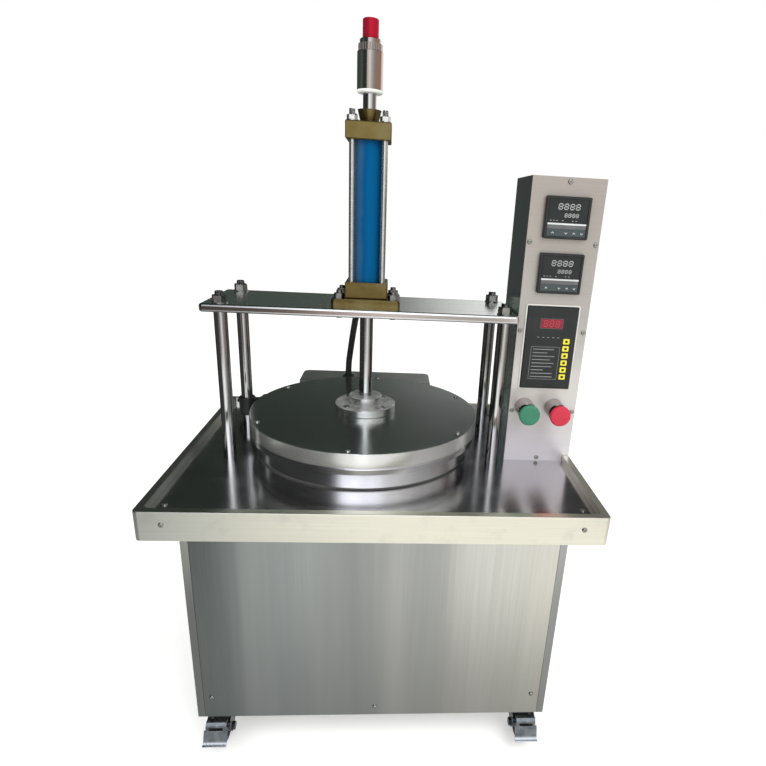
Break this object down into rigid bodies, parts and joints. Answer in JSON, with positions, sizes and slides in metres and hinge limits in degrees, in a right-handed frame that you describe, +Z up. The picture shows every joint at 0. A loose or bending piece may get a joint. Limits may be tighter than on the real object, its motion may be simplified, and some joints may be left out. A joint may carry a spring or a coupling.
{
  "type": "flatbread pressing machine",
  "caption": "Heated hydraulic flatbread press: round platens closed by a cylinder on a column frame, over a rimmed steel table on a cabinet with casters, beside a control box",
  "frame": {"origin": "On the floor, under the middle of the table's width, level with the press axis, which stands 36 mm to the left of it.", "axes": "+Z up, +X to the operator's right, the operator stands on the -Y side and the control panel faces -Y."},
  "size_m": [0.709, 0.6048, 1.2],
  "materials": {
    "table_steel": "polished stainless sheet",
    "cabinet_steel": "brushed stainless sheet",
    "box_steel": "satin stainless sheet",
    "plate_steel": "brushed plate with rounded edges",
    "column_chrome": "ground and hard chromed",
    "zinc": "bright zinc plated",
    "sleeve_chrome": "polished, the ring knurled",
    "olive_plating": "olive gold passivated",
    "blue_paint": "glossy",
    "red_cap": "glossy",
    "platen_metal": "turned edge",
    "cover_steel": "polished and turned",
    "heater_metal": "dull",
    "insulation": "pressed fibre",
    "black_plastic": "satin",
    "button_collar": "satin grey",
    "green_button": "satin",
    "red_button": "satin",
    "black_rubber": "matte",
    "caster_zinc": "dull zinc",
    "pedal_zinc": "stamped and zinc plated",
    "wheel_rubber": "satin",
    "tank_paint": "satin",
    "valve_alloy": "machined"
  },
  "bodies": {
    "frame": {"button_bodies": "button_collar", "cabinet_base": "cabinet_steel", "cabinet_front_panel": "cabinet_steel", "cabinet_left_side": "cabinet_steel", "cabinet_rear_panel": "cabinet_steel", "cabinet_right_side": "cabinet_steel", "casing_screws": "zinc", "caster_plates": "caster_zinc", "column_nuts": "zinc", "control_box": "box_steel", "control_panel": "box_steel", "cylinder_flange": "olive_plating", "cylinder_lower_block": "olive_plating", "cylinder_tube": "blue_paint", "cylinder_upper_block": "olive_plating", "flange_bolts": "zinc", "heater_lead": "black_rubber", "hose_fittings": "zinc", "hose_grommets": "black_rubber", "hydraulic_hose": "black_rubber", "lead_clamp": "black_plastic", "lower_heater": "heater_metal", "lower_insulation": "insulation", "lower_platen": "platen_metal", "oil_tank": "tank_paint", "press_base_plate": "plate_steel", "press_columns": "column_chrome", "pump_motor": "tank_paint", "rear_hose_box": "cabinet_steel", "rod_glands": "olive_plating", "table_tray": "table_steel", "temperature_controllers": "black_plastic", "tie_rods": "zinc", "timer_module": "black_plastic", "top_plate": "plate_steel", "valve_block": "valve_alloy"},
    "press_head": {"piston_rod": "column_chrome", "piston": "heater_metal", "upper_platen": "platen_metal", "platen_cover": "cover_steel", "upper_heater": "heater_metal", "upper_insulation": "insulation", "rod_hub": "cover_steel", "platen_screws": "zinc", "stroke_sleeve": "sleeve_chrome", "lock_ring": "sleeve_chrome", "rod_cap": "red_cap", "platen_gland": "black_plastic"},
    "start_button": {"start_button": "green_button"},
    "stop_button": {"stop_button": "red_button"},
    "fork_front_left": {"caster_fork_front_left": "caster_zinc"},
    "wheel_front_left": {"caster_wheel_front_left": "wheel_rubber"},
    "pedal_front_left": {"brake_pedal_front_left": "pedal_zinc"},
    "fork_front_right": {"caster_fork_front_right": "caster_zinc"},
    "wheel_front_right": {"caster_wheel_front_right": "wheel_rubber"},
    "pedal_front_right": {"brake_pedal_front_right": "pedal_zinc"},
    "fork_rear_left": {"caster_fork_rear_left": "caster_zinc"},
    "wheel_rear_left": {"caster_wheel_rear_left": "wheel_rubber"},
    "fork_rear_right": {"caster_fork_rear_right": "caster_zinc"},
    "wheel_rear_right": {"caster_wheel_rear_right": "wheel_rubber"}
  },
  "joints": [
    {"name": "press_slide", "type": "slide", "parent": "frame", "child": "press_head", "axis": [0, 0, 1], "range_m": [0, 0.12], "deforming": ["heater_lead"]},
    {"name": "start_press", "type": "slide", "parent": "frame", "child": "start_button", "axis": [0, 1, 0], "range_m": [0, 0.005], "stiffness_N_per_m": 400},
    {"name": "stop_press", "type": "slide", "parent": "frame", "child": "stop_button", "axis": [0, 1, 0], "range_m": [0, 0.005], "stiffness_N_per_m": 400},
    {"name": "swivel_front_left", "type": "hinge", "parent": "frame", "child": "fork_front_left", "pos_m": [-0.274, -0.222, 0.062], "axis": [0, 0, 1], "continuous": true},
    {"name": "roll_front_left", "type": "hinge", "parent": "fork_front_left", "child": "wheel_front_left", "pos_m": [-0.274, -0.244, 0.025], "axis": [1, 0, 0], "continuous": true},
    {"name": "brake_front_left", "type": "hinge", "parent": "fork_front_left", "child": "pedal_front_left", "pos_m": [-0.274, -0.259, 0.046], "axis": [1, 0, 0], "range_deg": [0, 15]},
    {"name": "swivel_front_right", "type": "hinge", "parent": "frame", "child": "fork_front_right", "pos_m": [0.274, -0.222, 0.062], "axis": [0, 0, 1], "continuous": true},
    {"name": "roll_front_right", "type": "hinge", "parent": "fork_front_right", "child": "wheel_front_right", "pos_m": [0.274, -0.244, 0.025], "axis": [1, 0, 0], "continuous": true},
    {"name": "brake_front_right", "type": "hinge", "parent": "fork_front_right", "child": "pedal_front_right", "pos_m": [0.274, -0.259, 0.046], "axis": [1, 0, 0], "range_deg": [0, 15]},
    {"name": "swivel_rear_left", "type": "hinge", "parent": "frame", "child": "fork_rear_left", "pos_m": [-0.274, 0.142, 0.062], "axis": [0, 0, 1], "continuous": true},
    {"name": "roll_rear_left", "type": "hinge", "parent": "fork_rear_left", "child": "wheel_rear_left", "pos_m": [-0.274, 0.12, 0.025], "axis": [1, 0, 0], "continuous": true},
    {"name": "swivel_rear_right", "type": "hinge", "parent": "frame", "child": "fork_rear_right", "pos_m": [0.274, 0.142, 0.062], "axis": [0, 0, 1], "continuous": true},
    {"name": "roll_rear_right", "type": "hinge", "parent": "fork_rear_right", "child": "wheel_rear_right", "pos_m": [0.274, 0.12, 0.025], "axis": [1, 0, 0], "continuous": true}
  ]
}
